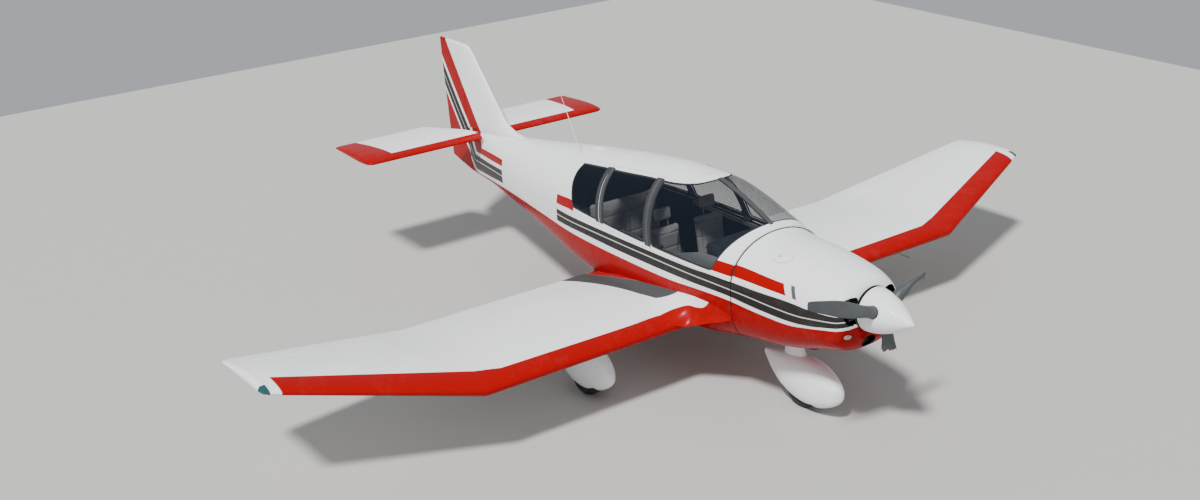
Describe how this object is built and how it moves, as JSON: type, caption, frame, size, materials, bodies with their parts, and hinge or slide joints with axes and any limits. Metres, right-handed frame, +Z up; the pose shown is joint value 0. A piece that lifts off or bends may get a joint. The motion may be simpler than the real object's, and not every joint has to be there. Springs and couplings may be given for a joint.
{
  "type": "light aircraft",
  "caption": "Low-wing touring aircraft with a cranked wing, a sliding glazed canopy, an all-moving tailplane, spatted wheels and a damaged propeller.",
  "frame": {"origin": "on the ground, under the middle of the bounding box", "axes": "+X forward to the nose, +Y to the port wing tip, +Z up"},
  "size_m": [7.136, 8.72, 2.24],
  "materials": {
    "white_paint": "gloss",
    "red_paint": "gloss",
    "tinted_glass": "polished",
    "bare_metal": "satin",
    "engine_metal": "matte",
    "blade_grey": "satin",
    "tyre": "matte",
    "lamp_glass": "polished",
    "seat_fabric": "matte",
    "dark_trim": "matte"
  },
  "bodies": {
    "airframe": {"rear_fuselage": "white_paint", "cabin_tub": "red_paint", "rear_cabin_shell": "white_paint", "rear_window_left": "tinted_glass", "rear_window_right": "tinted_glass", "cowl_upper": "white_paint", "cowl_lower": "red_paint", "firewall": "bare_metal", "engine_block": "engine_metal", "main_leg_left": "bare_metal", "main_leg_right": "bare_metal", "main_spat_left": "white_paint", "main_spat_right": "white_paint", "nose_leg_mount": "bare_metal", "wing_left": "white_paint", "wing_right": "white_paint", "nav_lamp_left": "lamp_glass", "nav_lamp_right": "lamp_glass", "fin": "white_paint", "front_seat_left": "seat_fabric", "front_seat_right": "seat_fabric", "rear_bench": "seat_fabric", "instrument_panel": "dark_trim", "control_sticks": "dark_trim", "antenna": "white_paint", "pitot_tube": "bare_metal", "exhaust": "bare_metal"},
    "canopy": {"canopy_frame": "white_paint", "canopy_window_left": "tinted_glass", "canopy_window_right": "tinted_glass", "windscreen_left": "tinted_glass", "windscreen_right": "tinted_glass"},
    "propeller": {"propeller": "blade_grey", "spinner": "white_paint"},
    "nose_gear": {"nose_fork": "bare_metal", "nose_spat": "white_paint"},
    "nose_wheel": {"nose_tyre": "tyre", "nose_rim": "bare_metal"},
    "main_wheel_left": {"main_left_tyre": "tyre", "main_left_rim": "bare_metal"},
    "main_wheel_right": {"main_right_tyre": "tyre", "main_right_rim": "bare_metal"},
    "flap_left": {"flap_left": "white_paint"},
    "flap_right": {"flap_right": "white_paint"},
    "aileron_left": {"aileron_left": "white_paint"},
    "aileron_right": {"aileron_right": "white_paint"},
    "rudder": {"rudder": "white_paint"},
    "tailplane": {"tailplane": "white_paint"}
  },
  "joints": [
    {"name": "canopy_slide", "type": "slide", "parent": "airframe", "child": "canopy", "axis": [1, 0, 0], "range_m": [0, 0.7]},
    {"name": "propeller_spin", "type": "hinge", "parent": "airframe", "child": "propeller", "pos_m": [3.262, 0, 1.182], "axis": [1, 0, 0], "continuous": true},
    {"name": "nose_steer", "type": "hinge", "parent": "airframe", "child": "nose_gear", "pos_m": [2.2153, 0, 0.6], "axis": [-0.225, 0, 0.9744], "range_deg": [-20, 20]},
    {"name": "nose_wheel_spin", "type": "hinge", "parent": "nose_gear", "child": "nose_wheel", "pos_m": [2.35, 0, 0.19], "axis": [0, 1, 0], "continuous": true},
    {"name": "main_wheel_left_spin", "type": "hinge", "parent": "airframe", "child": "main_wheel_left", "pos_m": [0.95, 1.3, 0.19], "axis": [0, 1, 0], "continuous": true},
    {"name": "main_wheel_right_spin", "type": "hinge", "parent": "airframe", "child": "main_wheel_right", "pos_m": [0.95, -1.3, 0.19], "axis": [0, 1, 0], "continuous": true},
    {"name": "flap_left_hinge", "type": "hinge", "parent": "airframe", "child": "flap_left", "pos_m": [0.205, 0.65, 0.644], "axis": [0, -1, 0], "range_deg": [0, 60]},
    {"name": "flap_right_hinge", "type": "hinge", "parent": "airframe", "child": "flap_right", "pos_m": [0.205, -0.65, 0.644], "axis": [0, -1, 0], "range_deg": [0, 60]},
    {"name": "aileron_left_hinge", "type": "hinge", "parent": "airframe", "child": "aileron_left", "pos_m": [0.232, 2.705, 0.669], "axis": [0.0811, 0.9768, 0.1981], "range_deg": [-13, 13]},
    {"name": "aileron_right_hinge", "type": "hinge", "parent": "airframe", "child": "aileron_right", "pos_m": [0.232, -2.705, 0.669], "axis": [0.0811, -0.9768, 0.1981], "range_deg": [-13, 13]},
    {"name": "rudder_hinge", "type": "hinge", "parent": "airframe", "child": "rudder", "pos_m": [-2.99, 0, 0.8], "axis": [-0.0888, 0, 0.9961], "range_deg": [-25, 25]},
    {"name": "tailplane_hinge", "type": "hinge", "parent": "airframe", "child": "tailplane", "pos_m": [-2.8, 0, 1.3], "axis": [0, 1, 0], "range_deg": [-8, 16]}
  ],
  "couplings": [
    {"joint": "flap_right_hinge", "follows": "flap_left_hinge", "ratio": 1},
    {"joint": "aileron_right_hinge", "follows": "aileron_left_hinge", "ratio": 1}
  ]
}
